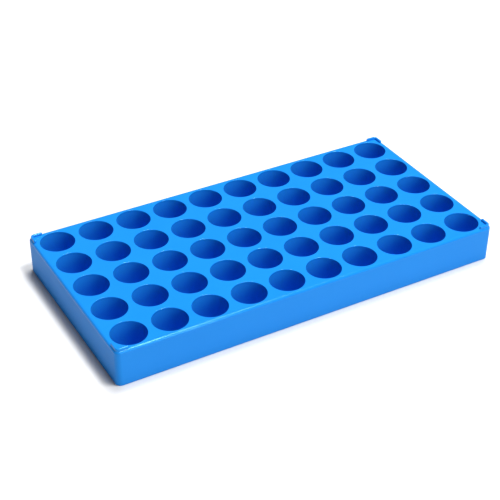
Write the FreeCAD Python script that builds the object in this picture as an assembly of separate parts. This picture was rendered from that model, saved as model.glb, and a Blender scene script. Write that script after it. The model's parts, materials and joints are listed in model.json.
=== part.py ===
"""Shallow stacking rack with a grid of round blind wells.

Millimetres, +Z up. The origin is the centre of the base outline, on the surface that the rack stands on.
X runs along the long side, and the front of the rack faces -Y. Rows are lettered a to e from the back
to the front, and columns are numbered from the left.

The real rack is one polypropylene moulding. It is divided here into its working features: the
perforated deck, the four walls of the skirt, the wells, the webs between wells and the corner lugs.
They meet face to face, and nothing moves.
"""

import FreeCAD
import Part
import os

# Grid of wells
PITCH = 19.0  # between neighbouring well axes, both ways
COLUMNS = 10
ROWS = "abcde"  # from the back to the front
WELL_DIAMETER = 15.9  # clearance for a tube or vial of 15 mm

# Outline
END_MARGIN = 10.5  # from the outermost column's axes to the end face
SIDE_MARGIN = 10.0  # from the outermost row's axes to the long face
CORNER_RADIUS = 2.6  # vertical corners of the outline
DECK_TOP = 17.7  # from the base to the flat of the deck
EDGE_RADIUS = 1.2  # rounding along the deck's top edge

# Walls
DECK_THICKNESS = 2.0
SKIRT_THICKNESS = 1.5
WELL_WALL = 1.2
WELL_FLOOR = 1.2
FLOOR_CLEARANCE = 0.5  # from the base up to the underside of the wells
WEB_WIDTH = 4.0  # measured across the line between two well axes

# Corner lugs, which locate the next rack of a stack
LUG_HEIGHT = 1.2
LUG_INSET = 0.65  # from the outer faces of the rack
LUG_THICKNESS = 1.2
LUG_REACH = 6.5  # from an outer face to the end of the leg that runs away from it
LUG_EDGE_RADIUS = 0.5  # rounding along the crest of a lug

LENGTH = (COLUMNS - 1) * PITCH + 2 * END_MARGIN
WIDTH = (len(ROWS) - 1) * PITCH + 2 * SIDE_MARGIN
WELL_RADIUS = WELL_DIAMETER / 2
CUP_RADIUS = WELL_RADIUS + WELL_WALL
DECK_UNDERSIDE = DECK_TOP - DECK_THICKNESS
WELL_BOTTOM = FLOOR_CLEARANCE + WELL_FLOOR

# Each side runs between two corners of the outline, given as the signs of their x and y
SIDES = {
    "front": ((-1, -1), (1, -1)),
    "right": ((1, -1), (1, 1)),
    "back": ((1, 1), (-1, 1)),
    "left": ((-1, 1), (-1, -1)),
}
TOLERANCE = 0.01
OVERRUN = 1.0  # how far a cutting tool passes the face that it opens
UP = FreeCAD.Vector(0, 0, 1)


def well_axis(row, column):
    """Where a well's axis stands, with row and column counted from 0 at the back left."""
    x = (column - (COLUMNS - 1) / 2) * PITCH
    y = ((len(ROWS) - 1) / 2 - row) * PITCH
    return x, y


def rod(radius, x, y, bottom, top):
    """An upright cylinder."""
    return Part.makeCylinder(radius, top - bottom, FreeCAD.Vector(x, y, bottom), UP)


def prism(points, bottom, top):
    """An upright prism over a polygon in plan."""
    corners = [FreeCAD.Vector(x, y, bottom) for x, y in points]
    outline = Part.makePolygon(corners + corners[:1])
    return Part.Face(outline).extrude(UP * (top - bottom))


def edges_at(shape, height):
    """The edges of a shape that lie in one level plane."""
    return [e for e in shape.Edges if all(abs(v.Z - height) < TOLERANCE for v in e.Vertexes)]


def slab(inset, bottom, top):
    """The rack's outline, drawn in by an inset, as a prism with rounded vertical corners."""
    x, y = LENGTH / 2 - inset, WIDTH / 2 - inset
    block = prism([(-x, -y), (x, -y), (x, y), (-x, y)], bottom, top)
    upright = [e for e in block.Edges if e.BoundBox.ZLength > TOLERANCE]
    return block.makeFillet(CORNER_RADIUS - inset, upright)


def ring(outer_inset, inner_inset, bottom, top):
    """A wall that follows the whole outline, between two insets."""
    hollow = slab(inner_inset, bottom - OVERRUN, top + OVERRUN)
    return slab(outer_inset, bottom, top).cut(hollow)


def make_deck():
    """The flat top, with a rounded edge and a hole over each well."""
    plate = slab(0, DECK_UNDERSIDE, DECK_TOP)
    plate = plate.makeFillet(EDGE_RADIUS, edges_at(plate, DECK_TOP))
    axes = [well_axis(row, column) for row in range(len(ROWS)) for column in range(COLUMNS)]
    return plate.cut([rod(WELL_RADIUS, x, y, DECK_UNDERSIDE - OVERRUN, DECK_TOP + OVERRUN) for x, y in axes])


def make_skirt(side):
    """One wall of the skirt, mitred at 45 degrees in the middle of each rounded corner."""
    first, second = SIDES[side]
    outer = (LENGTH / 2, WIDTH / 2)
    inner = (LENGTH / 2 - WIDTH / 4, WIDTH / 4)
    corners = [(first, outer), (second, outer), (second, inner), (first, inner)]
    stretch = prism([(sx * x, sy * y) for (sx, sy), (x, y) in corners], 0, DECK_UNDERSIDE)
    return ring(0, SKIRT_THICKNESS, 0, DECK_UNDERSIDE).common(stretch)


def make_well(row, column):
    """One blind cup under the deck, flattened where it runs into the skirt."""
    x, y = well_axis(row, column)
    cup = rod(CUP_RADIUS, x, y, FLOOR_CLEARANCE, DECK_UNDERSIDE)
    cup = cup.common(slab(SKIRT_THICKNESS, 0, DECK_UNDERSIDE))
    return cup.cut(rod(WELL_RADIUS, x, y, WELL_BOTTOM, DECK_TOP))


def make_web(first, second):
    """The plastic that joins one cup to the next, between their two axes."""
    start, end = FreeCAD.Vector(*first, 0), FreeCAD.Vector(*second, 0)
    across = (end - start).cross(UP).normalize() * (WEB_WIDTH / 2)
    corners = [start - across, start + across, end + across, end - across]
    strip = prism([(c.x, c.y) for c in corners], FLOOR_CLEARANCE, DECK_UNDERSIDE)
    return strip.cut([rod(CUP_RADIUS, x, y, 0, DECK_TOP) for x, y in (first, second)])


def make_webs():
    """All the webs, along the rows and then along the columns, as separate solids."""
    rows, columns = range(len(ROWS)), range(COLUMNS)
    pairs = [((row, column), (row, column + 1)) for row in rows for column in columns[:-1]]
    pairs += [((row, column), (row + 1, column)) for row in rows[:-1] for column in columns]
    return Part.makeCompound([make_web(well_axis(*one), well_axis(*other)) for one, other in pairs])


def make_lug(deck, sign_x, sign_y):
    """A low L-shaped ridge that follows one corner and runs down onto the deck's rounded edge."""
    bottom, top = DECK_TOP - EDGE_RADIUS, DECK_TOP + LUG_HEIGHT
    outer_x, outer_y = LENGTH / 2, WIDTH / 2
    end_x, end_y = outer_x - LUG_REACH, outer_y - LUG_REACH
    corners = [(end_x, end_y), (outer_x, end_y), (outer_x, outer_y), (end_x, outer_y)]
    quarter = prism([(sign_x * x, sign_y * y) for x, y in corners], bottom, top)
    ridge = ring(LUG_INSET, LUG_INSET + LUG_THICKNESS, bottom, top).common(quarter)
    ridge = ridge.makeFillet(LUG_EDGE_RADIUS, edges_at(ridge, top))
    return ridge.cut(deck)


def make_parts():
    """Every sub-part by its node name."""
    deck = make_deck()
    parts = {"deck": deck}
    for side in SIDES:
        parts["skirt_" + side] = make_skirt(side)
    for row, letter in enumerate(ROWS):
        for column in range(COLUMNS):
            parts[f"well_{letter}{column + 1}"] = make_well(row, column)
    parts["well_webs"] = make_webs()
    for side, sign_y in (("front", -1), ("back", 1)):
        for end, sign_x in (("left", -1), ("right", 1)):
            parts[f"lug_{side}_{end}"] = make_lug(deck, sign_x, sign_y)
    return parts


os.makedirs("parts", exist_ok=True)
for node, shape in make_parts().items():
    volume = sum(solid.Volume for solid in shape.Solids)
    print(f"{node}: {len(shape.Solids)} solid(s), {volume:.1f} mm3, valid {shape.isValid()}")
    shape.exportStep(f"parts/{node}.step")
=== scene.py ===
"""Looks for a shallow moulded rack with fifty round wells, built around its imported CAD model.

Every sub-part but the hidden webs gets a finer mesh with the small radii of a moulding: rounded well
rims, coved floors, eased lower edges. The pieces keep the CAD's own sizes, share one ring of points
around the outline, and meet with matching normals, so that the moulding shows no seams.
Lengths are in metres. Insets are measured inwards from the rack's outer faces.
"""

import json
import math

import bmesh
import bpy
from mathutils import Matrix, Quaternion, Vector


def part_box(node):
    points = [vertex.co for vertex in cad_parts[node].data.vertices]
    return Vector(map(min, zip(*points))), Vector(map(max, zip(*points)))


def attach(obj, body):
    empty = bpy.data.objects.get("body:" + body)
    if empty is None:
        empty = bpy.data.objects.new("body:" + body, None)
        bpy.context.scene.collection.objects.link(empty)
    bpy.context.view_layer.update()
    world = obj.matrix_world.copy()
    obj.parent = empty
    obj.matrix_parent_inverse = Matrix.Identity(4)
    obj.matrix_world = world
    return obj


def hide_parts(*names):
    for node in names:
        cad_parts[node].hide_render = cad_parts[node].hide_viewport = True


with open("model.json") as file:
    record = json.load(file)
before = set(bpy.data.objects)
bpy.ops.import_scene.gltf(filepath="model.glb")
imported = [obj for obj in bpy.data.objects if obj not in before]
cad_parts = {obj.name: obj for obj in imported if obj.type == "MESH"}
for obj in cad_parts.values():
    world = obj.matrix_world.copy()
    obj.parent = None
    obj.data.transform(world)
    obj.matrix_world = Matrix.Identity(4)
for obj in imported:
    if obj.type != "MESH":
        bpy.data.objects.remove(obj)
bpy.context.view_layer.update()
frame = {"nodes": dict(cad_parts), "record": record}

MM = 0.001

# Sizes read from the CAD model
BORES = {m["name"]: m for m in frame["record"]["mounts"] if m["kind"] == "bore"}
WELL_RADIUS = next(iter(BORES.values()))["dims"]["r_mm"] * MM
WELL_DEPTH = next(iter(BORES.values()))["dims"]["length_mm"] * MM
DECK_LOW, DECK_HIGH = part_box("deck")
HALF_X, HALF_Y, DECK_TOP, DECK_UNDERSIDE = DECK_HIGH.x, DECK_HIGH.y, DECK_HIGH.z, DECK_LOW.z
CUP_LOW, CUP_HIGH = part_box("well_c5")
CUP_RADIUS = (CUP_HIGH.x - CUP_LOW.x) / 2
CUP_BOTTOM = CUP_LOW.z
LUG_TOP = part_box("lug_back_right")[1].z

# Sizes that the boxes don't show, as in the CAD model
CORNER_RADIUS = 2.6 * MM
EDGE_RADIUS = 1.2 * MM
SKIRT_THICKNESS = 1.5 * MM
LUG_INSET = 0.65 * MM
LUG_THICKNESS = 1.2 * MM
LUG_REACH = 6.5 * MM
LUG_EDGE_RADIUS = 0.5 * MM

# Small radii that only the looks have
RIM_RADIUS = 0.2 * MM
COVE_RADIUS = 1.5 * MM
LOWER_EDGE_RADIUS = 0.3 * MM

# How finely the meshes are divided
SIDE_SEGMENTS = 16  # along each side of a well's square cell, so 64 around a well
HALF_CORNER_SEGMENTS = 4  # in half of a rounded vertical corner
EDGE_SEGMENTS = 8
RIM_SEGMENTS = 3
COVE_SEGMENTS = 6
LOWER_EDGE_SEGMENTS = 3
LUG_EDGE_SEGMENTS = 3
WELL_SEGMENTS = 4 * SIDE_SEGMENTS
MERGE_DISTANCE = 0.0005 * MM
CREASE_ANGLE = math.radians(40)


# Plan of the rack

def spread(start, end, count):
    """Count + 1 numbers from start to end, evenly spaced."""
    return [start + (end - start) * k / count for k in range(count + 1)]


def borders(centres, half):
    """The borders between neighbouring cells, from one outer face to the other."""
    return [-half] + [(a + b) / 2 for a, b in zip(centres, centres[1:])] + [half]


def columns_and_rows():
    """The x of every column and the y of every row of wells."""
    axes = [m["pos_m"] for m in BORES.values()]
    return sorted({round(p[0], 6) for p in axes}), sorted({round(p[1], 6) for p in axes})


COLUMN_X, ROW_Y = columns_and_rows()
BORDER_X, BORDER_Y = borders(COLUMN_X, HALF_X), borders(ROW_Y, HALF_Y)


def side_marks(edges, half):
    """Where the outline has points along one straight side, from one rounded corner to the other."""
    straight = [CORNER_RADIUS - half] + edges[1:-1] + [half - CORNER_RADIUS]
    marks = straight[:1]
    for k, (a, b) in enumerate(zip(straight, straight[1:])):
        at_end = k in (0, len(straight) - 2)
        marks += spread(a, b, SIDE_SEGMENTS - (HALF_CORNER_SEGMENTS if at_end else 0))[1:]
    return marks


def corner_points(sign_x, sign_y, start_angle):
    """Points round one vertical corner, each with its outward normal, over a quarter turn."""
    centre = Vector((sign_x * (HALF_X - CORNER_RADIUS), sign_y * (HALF_Y - CORNER_RADIUS)))
    points = []
    for angle in spread(start_angle, start_angle + math.pi / 2, 2 * HALF_CORNER_SEGMENTS):
        normal = Vector((math.cos(angle), math.sin(angle)))
        points.append((centre + CORNER_RADIUS * normal, normal))
    return points


# Where the arc of each rounded corner starts, by the signs of its x and y, anticlockwise from the front right
CORNER_ANGLES = {(1, -1): -math.pi / 2, (1, 1): 0, (-1, 1): math.pi / 2, (-1, -1): math.pi}


def outline():
    """The outer face in plan, anticlockwise from the middle of the front left corner.

    Each entry is (point, outward normal), so the same ring at an inset is point - inset * normal.
    """
    along_x, along_y = side_marks(BORDER_X, HALF_X), side_marks(BORDER_Y, HALF_Y)
    front = [(Vector((x, -HALF_Y)), Vector((0, -1))) for x in along_x]
    right = [(Vector((HALF_X, y)), Vector((1, 0))) for y in along_y]
    back = [(Vector((-x, HALF_Y)), Vector((0, 1))) for x in along_x]
    left = [(Vector((-HALF_X, -y)), Vector((-1, 0))) for y in along_y]
    corners = [corner_points(*signs, angle) for signs, angle in CORNER_ANGLES.items()]
    ring = []
    for side, corner in zip((front, right, back, left), corners):
        ring += side + corner[1:-1]
    return ring[-HALF_CORNER_SEGMENTS:] + ring[:-HALF_CORNER_SEGMENTS]


OUTLINE = outline()


def inset_ring(path, inset, z):
    """The points of a path, drawn in by an inset, at one height."""
    return [(*(point - inset * normal), z) for point, normal in path]


def cell_side(a, b, inset, a_is_corner, b_is_corner):
    """Points from one corner of a cell to the next, without the last one.

    A corner of the rack itself is rounded: the side then starts or ends in the middle of its arc.
    """
    a, b = Vector(a), Vector(b)
    along = (b - a).normalized()
    outwards = Vector((along.y, -along.x))
    radius = CORNER_RADIUS - inset
    start = a + along * radius if a_is_corner else a
    end = b - along * radius if b_is_corner else b
    arcs = HALF_CORNER_SEGMENTS * (a_is_corner + b_is_corner)
    points = [start.lerp(end, k / (SIDE_SEGMENTS - arcs)) for k in range(SIDE_SEGMENTS - arcs + 1)]
    bends = [math.pi / 4 * k / HALF_CORNER_SEGMENTS for k in range(1, HALF_CORNER_SEGMENTS + 1)]
    if a_is_corner:
        centre = start - outwards * radius
        arc = [centre + radius * (outwards * math.cos(t) - along * math.sin(t)) for t in bends[::-1]]
        points = arc + points
    if b_is_corner:
        centre = end - outwards * radius
        points += [centre + radius * (outwards * math.cos(t) + along * math.sin(t)) for t in bends]
    return points[:-1]


def cell_ring(column, row, inset, z):
    """The border of one well's cell, anticlockwise from its front left corner, at one height."""
    x0, x1 = (max(min(x, HALF_X - inset), inset - HALF_X) for x in BORDER_X[column : column + 2])
    y0, y1 = (max(min(y, HALF_Y - inset), inset - HALF_Y) for y in BORDER_Y[row : row + 2])
    corners = [(x0, y0), (x1, y0), (x1, y1), (x0, y1)]
    rounded = [abs(x) == HALF_X - inset and abs(y) == HALF_Y - inset for x, y in corners]
    ring = []
    for k in range(4):
        n = (k + 1) % 4
        ring += cell_side(corners[k], corners[n], inset, rounded[k], rounded[n])
    return [(p.x, p.y, z) for p in ring]


def well_ring(x, y, radius, z):
    """Points round a well in step with its cell's border. The radius may be a function of the angle."""
    ring = []
    for k in range(WELL_SEGMENTS):
        angle = math.pi * 5 / 4 + 2 * math.pi * k / WELL_SEGMENTS
        r = radius(angle) if callable(radius) else radius
        ring.append((x + r * math.cos(angle), y + r * math.sin(angle), z))
    return ring


def quarter_arc(radius, segments):
    """(sideways, down) along a rounded edge, from a level face to an upright one."""
    angles = spread(0, math.pi / 2, segments)
    return [(radius * math.sin(t), radius * (1 - math.cos(t))) for t in angles]


# Meshes

def join_rings(mesh, rings, closed=True):
    """Faces between neighbouring rings, which all have the same number of points. Returns their vertices."""
    rows = [[mesh.verts.new(p) for p in ring] for ring in rings]
    count = len(rows[0])
    for upper, lower in zip(rows, rows[1:]):
        for k in range(count if closed else count - 1):
            n = (k + 1) % count
            mesh.faces.new((upper[k], upper[n], lower[n], lower[k]))
    return rows


def cap_with_fan(mesh, row, centre):
    """Triangles from a ring to a point in its middle."""
    hub = mesh.verts.new(centre)
    for k in range(len(row)):
        mesh.faces.new((row[k], row[(k + 1) % len(row)], hub))


def finish_piece(mesh, name, material, *nodes):
    """Turns a bmesh into a smooth piece that stands for its CAD nodes."""
    bmesh.ops.remove_doubles(mesh, verts=mesh.verts, dist=MERGE_DISTANCE)
    bmesh.ops.recalc_face_normals(mesh, faces=mesh.faces)
    data = bpy.data.meshes.new(name)
    mesh.to_mesh(data)
    mesh.free()
    data.shade_smooth()
    data.set_sharp_from_angle(angle=CREASE_ANGLE)
    piece = bpy.data.objects.new(name, data)
    bpy.context.scene.collection.objects.link(piece)
    weighted = piece.modifiers.new("flat faces stay flat", "WEIGHTED_NORMAL")
    weighted.keep_sharp = True
    data.materials.append(material)
    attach(piece, "root")
    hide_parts(*nodes)
    return piece


def make_deck(material):
    """The perforated top, with eased well rims and a rounded outer edge."""
    mesh = bmesh.new()
    for column, x in enumerate(COLUMN_X):
        for row, y in enumerate(ROW_Y):
            rings = [cell_ring(column, row, EDGE_RADIUS, DECK_TOP)]
            for across, down in quarter_arc(RIM_RADIUS, RIM_SEGMENTS):
                rings.append(well_ring(x, y, WELL_RADIUS + RIM_RADIUS - across, DECK_TOP - down))
            rings.append(well_ring(x, y, WELL_RADIUS, DECK_UNDERSIDE))
            rings.append(cell_ring(column, row, EDGE_RADIUS, DECK_UNDERSIDE))
            join_rings(mesh, rings)
    edge = []
    for across, down in quarter_arc(EDGE_RADIUS, EDGE_SEGMENTS):
        edge.append(inset_ring(OUTLINE, EDGE_RADIUS - across, DECK_TOP - down))
    edge.append(inset_ring(OUTLINE, 0, DECK_UNDERSIDE))
    edge.append(inset_ring(OUTLINE, EDGE_RADIUS, DECK_UNDERSIDE))
    join_rings(mesh, edge)
    return finish_piece(mesh, "moulded_deck", material, "deck")


def sweep(mesh, path, section):
    """A closed section of (inset, z) points carried along an open path, with both ends closed."""
    rings = [[(*(point - inset * normal), z) for inset, z in section] for point, normal in path]
    rows = join_rings(mesh, rings)
    mesh.faces.new(rows[0])
    mesh.faces.new(rows[-1])


def side_path(corner_before, corner_after):
    """The part of the outline from the middle of one corner to the middle of another."""
    def middle(signs):
        target = Vector((signs[0] * HALF_X, signs[1] * HALF_Y))
        return min(range(len(OUTLINE)), key=lambda k: (OUTLINE[k][0] - target).length)

    first, last = middle(corner_before), middle(corner_after)
    return OUTLINE[first : last + 1] if last > first else OUTLINE[first:] + OUTLINE[: last + 1]


SKIRT_CORNERS = {
    "front": ((-1, -1), (1, -1)),
    "right": ((1, -1), (1, 1)),
    "back": ((1, 1), (-1, 1)),
    "left": ((-1, 1), (-1, -1)),
}


def make_skirt(side, material):
    """One wall of the skirt, with its lower edge eased on both faces."""
    arc = quarter_arc(LOWER_EDGE_RADIUS, LOWER_EDGE_SEGMENTS)
    section = [(0, DECK_UNDERSIDE)]
    section += [(d, LOWER_EDGE_RADIUS - a) for a, d in arc]
    section += [(SKIRT_THICKNESS - d, LOWER_EDGE_RADIUS - a) for a, d in arc[::-1]]
    section += [(SKIRT_THICKNESS, DECK_UNDERSIDE)]
    mesh = bmesh.new()
    sweep(mesh, side_path(*SKIRT_CORNERS[side]), section)
    return finish_piece(mesh, f"moulded_skirt_{side}", material, f"skirt_{side}")


def cup_outside(column, row):
    """The cup's outer radius by angle: round, but flat where it runs into the skirt."""
    flats = []
    for at_edge, gap, angle in (
        (column == 0, COLUMN_X[0] + HALF_X, math.pi),
        (column == len(COLUMN_X) - 1, HALF_X - COLUMN_X[-1], 0),
        (row == 0, ROW_Y[0] + HALF_Y, -math.pi / 2),
        (row == len(ROW_Y) - 1, HALF_Y - ROW_Y[-1], math.pi / 2),
    ):
        if at_edge:
            flats.append((gap - SKIRT_THICKNESS, angle))

    def radius(angle):
        reach = CUP_RADIUS
        for distance, direction in flats:
            towards = math.cos(angle - direction)
            if towards > 0:
                reach = min(reach, distance / towards)
        return reach

    return radius


def make_well(name, material):
    """One blind cup, with a coved floor inside and an eased lower edge outside."""
    x, y = BORES[name]["pos_m"][:2]
    column = COLUMN_X.index(round(x, 6))
    row = ROW_Y.index(round(y, 6))
    outside = cup_outside(column, row)
    floor = DECK_TOP - WELL_DEPTH
    mesh = bmesh.new()
    rings = []
    for across, up in quarter_arc(COVE_RADIUS, COVE_SEGMENTS):
        rings.append(well_ring(x, y, WELL_RADIUS - COVE_RADIUS + across, floor + up))
    rings.append(well_ring(x, y, WELL_RADIUS, DECK_UNDERSIDE))
    rings.append(well_ring(x, y, outside, DECK_UNDERSIDE))
    for across, up in quarter_arc(LOWER_EDGE_RADIUS, LOWER_EDGE_SEGMENTS)[::-1]:
        shrink = LOWER_EDGE_RADIUS - across
        rings.append(well_ring(x, y, lambda a, s=shrink: outside(a) - s, CUP_BOTTOM + up))
    rows = join_rings(mesh, rings)
    cap_with_fan(mesh, rows[0], (x, y, floor))
    cap_with_fan(mesh, rows[-1], (x, y, CUP_BOTTOM))
    return finish_piece(mesh, f"moulded_{name}", material, name)


def make_lug(side, end, material):
    """A low L-shaped ridge on one corner, eased along its crest and its ends."""
    sign_x = 1 if end == "right" else -1
    sign_y = 1 if side == "back" else -1
    arc = corner_points(sign_x, sign_y, CORNER_ANGLES[sign_x, sign_y])
    legs = []
    for point, normal in (arc[0], arc[-1]):
        tangent = Vector((-sign_x, 0)) if abs(normal.y) > 0.5 else Vector((0, -sign_y))
        legs.append((point + tangent * (LUG_REACH - CORNER_RADIUS), normal))
    path = [legs[0]] + arc + [legs[1]]
    foot = DECK_TOP - EDGE_RADIUS / 4  # a little way into the deck's rounded edge
    inner = LUG_INSET + LUG_THICKNESS
    mesh = bmesh.new()
    sweep(mesh, path, [(LUG_INSET, foot), (LUG_INSET, LUG_TOP), (inner, LUG_TOP), (inner, foot)])
    bmesh.ops.recalc_face_normals(mesh, faces=mesh.faces)
    creases = [e for e in mesh.edges if e.calc_face_angle(0) > CREASE_ANGLE]
    crest = [e for e in creases if max(v.co.z for v in e.verts) > DECK_TOP]
    bmesh.ops.bevel(
        mesh, geom=crest, offset=LUG_EDGE_RADIUS, segments=LUG_EDGE_SEGMENTS, profile=0.5, affect="EDGES"
    )
    return finish_piece(mesh, f"moulded_lug_{side}_{end}", material, f"lug_{side}_{end}")


# Material

PLASTIC_DEEP = (0.008, 0.204, 0.67, 1)
PLASTIC_LIGHT = (0.011, 0.228, 0.71, 1)
REFRACTIVE_INDEX = 1.49
GLOSS_LEVEL = 0.32
GLOSS_TINT = (0.35, 0.85, 1, 1)
SATIN_ROUGHNESS = 0.55
POLISHED_ROUGHNESS = 0.13
UNEVENNESS = 0.03  # how far the roughness wanders either way
RIPPLE_DEPTH = 0.01 * MM
GRAIN_DEPTH = 0.002 * MM
POLISHED_FROM = 1.5 * MM  # below the deck's top, where the walls start to shine
POLISHED_BY = 0.8 * MM  # below the deck's top, where they shine like the deck


def moulded_plastic(name):
    """Pigmented polypropylene: satin walls, a polished deck, and the faint ripple and grain of a moulding."""
    material = bpy.data.materials.new(name)
    material.use_nodes = True
    nodes, links = material.node_tree.nodes, material.node_tree.links
    shader = nodes["Principled BSDF"]
    shader.inputs["IOR"].default_value = REFRACTIVE_INDEX
    shader.inputs["Specular IOR Level"].default_value = GLOSS_LEVEL
    shader.inputs["Specular Tint"].default_value = GLOSS_TINT

    place = nodes.new("ShaderNodeTexCoord")

    def noise(scale, detail):
        node = nodes.new("ShaderNodeTexNoise")
        node.inputs["Scale"].default_value = scale
        node.inputs["Detail"].default_value = detail
        links.new(place.outputs["Object"], node.inputs["Vector"])
        return node

    def ranged(source, low, high):
        node = nodes.new("ShaderNodeMapRange")
        node.inputs["To Min"].default_value = low
        node.inputs["To Max"].default_value = high
        links.new(source, node.inputs["Value"])
        return node.outputs["Result"]

    flow = noise(scale=45, detail=3)
    grain = noise(scale=2600, detail=2)
    ripple = noise(scale=70, detail=1)

    tint = nodes.new("ShaderNodeMix")
    tint.data_type = "RGBA"
    tint.inputs["A"].default_value = PLASTIC_DEEP
    tint.inputs["B"].default_value = PLASTIC_LIGHT
    links.new(flow.outputs["Fac"], tint.inputs["Factor"])
    links.new(tint.outputs["Result"], shader.inputs["Base Color"])

    height = nodes.new("ShaderNodeSeparateXYZ")
    links.new(place.outputs["Object"], height.inputs["Vector"])
    polish = nodes.new("ShaderNodeMapRange")
    polish.inputs["From Min"].default_value = DECK_TOP - POLISHED_FROM
    polish.inputs["From Max"].default_value = DECK_TOP - POLISHED_BY
    polish.inputs["To Min"].default_value = SATIN_ROUGHNESS
    polish.inputs["To Max"].default_value = POLISHED_ROUGHNESS
    links.new(height.outputs["Z"], polish.inputs["Value"])
    uneven = nodes.new("ShaderNodeMath")
    links.new(polish.outputs["Result"], uneven.inputs[0])
    links.new(ranged(flow.outputs["Fac"], -UNEVENNESS, UNEVENNESS), uneven.inputs[1])
    links.new(uneven.outputs["Value"], shader.inputs["Roughness"])

    waves = nodes.new("ShaderNodeBump")
    waves.inputs["Strength"].default_value = 1.0
    waves.inputs["Distance"].default_value = RIPPLE_DEPTH
    links.new(ripple.outputs["Fac"], waves.inputs["Height"])
    texture = nodes.new("ShaderNodeBump")
    texture.inputs["Strength"].default_value = 1.0
    texture.inputs["Distance"].default_value = GRAIN_DEPTH
    links.new(grain.outputs["Fac"], texture.inputs["Height"])
    links.new(waves.outputs["Normal"], texture.inputs["Normal"])
    links.new(texture.outputs["Normal"], shader.inputs["Normal"])
    return material


# Studio

CAMERA_AZIMUTH = -30.0
CAMERA_ELEVATION = 34.7
CAMERA_ROLL = 0.63
CAMERA_DISTANCE = 0.577
CAMERA_AIM = Vector((-0.006, 0.0007, 0.009))
CAMERA_LENS = 89.66


def direction(azimuth, elevation):
    """A unit vector: azimuth 0 points to the front of the rack, and turns towards its right end."""
    a, e = math.radians(azimuth), math.radians(elevation)
    return Vector((math.sin(a) * math.cos(e), -math.cos(a) * math.cos(e), math.sin(e)))


def place_camera():
    """The camera at the front left, looking down on the rack."""
    camera = bpy.data.objects.new("camera", bpy.data.cameras.new("camera"))
    camera.data.lens = CAMERA_LENS
    back = direction(CAMERA_AZIMUTH, CAMERA_ELEVATION)
    roll = Quaternion((0, 0, 1), math.radians(CAMERA_ROLL))
    camera.rotation_mode = "QUATERNION"
    camera.rotation_quaternion = back.to_track_quat("Z", "Y") @ roll
    camera.location = CAMERA_AIM + CAMERA_DISTANCE * back
    camera.data.clip_start = 0.01
    bpy.context.scene.collection.objects.link(camera)
    bpy.context.scene.camera = camera


def softbox(name, azimuth, elevation, distance, size, power):
    """A rectangular light that faces the rack."""
    light = bpy.data.lights.new(name, "AREA")
    light.shape = "RECTANGLE"
    light.size, light.size_y = size
    light.energy = power
    lamp = bpy.data.objects.new(name, light)
    towards = direction(azimuth, elevation)
    lamp.location = towards * distance
    lamp.rotation_mode = "QUATERNION"
    lamp.rotation_quaternion = towards.to_track_quat("Z", "Y")
    bpy.context.scene.collection.objects.link(lamp)


def make_floor():
    """A plain white sheet that the rack stands on."""
    mesh = bmesh.new()
    bmesh.ops.create_grid(mesh, x_segments=8, y_segments=8, size=4)
    data = bpy.data.meshes.new("floor")
    mesh.to_mesh(data)
    mesh.free()
    floor = bpy.data.objects.new("floor", data)
    material = bpy.data.materials.new("white_paper")
    material.use_nodes = True
    shader = material.node_tree.nodes["Principled BSDF"]
    shader.inputs["Base Color"].default_value = (0.74, 0.74, 0.74, 1)
    shader.inputs["Roughness"].default_value = 0.9
    shader.inputs["Specular IOR Level"].default_value = 0.1
    data.materials.append(material)
    bpy.context.scene.collection.objects.link(floor)


def light_the_studio():
    """Two high lights at the right, front and back, two low ones in front, and a dim room."""
    world = bpy.data.worlds.new("room")
    world.use_nodes = True
    background = world.node_tree.nodes["Background"]
    background.inputs["Color"].default_value = (1, 1, 1, 1)
    background.inputs["Strength"].default_value = 0.1
    bpy.context.scene.world = world
    softbox("key", azimuth=42, elevation=72, distance=1.5, size=(0.3, 0.3), power=17)
    softbox("back", azimuth=132, elevation=73, distance=1.5, size=(0.63, 0.63), power=21)
    softbox("front_fill", azimuth=3, elevation=18, distance=1.5, size=(0.63, 0.75), power=6)
    softbox("kicker", azimuth=19, elevation=20, distance=1.5, size=(0.08, 0.5), power=3)
    bpy.context.scene.view_settings.view_transform = "Standard"


# Assembly

body = moulded_plastic("moulded_blue_plastic")
make_deck(body)
for side in SKIRT_CORNERS:
    make_skirt(side, body)
for well in BORES:
    make_well(well, body)
for side in ("front", "back"):
    for end in ("left", "right"):
        make_lug(side, end, body)
webs = frame["nodes"]["well_webs"]
webs.data.materials.clear()
webs.data.materials.append(body)

make_floor()
light_the_studio()
place_camera()
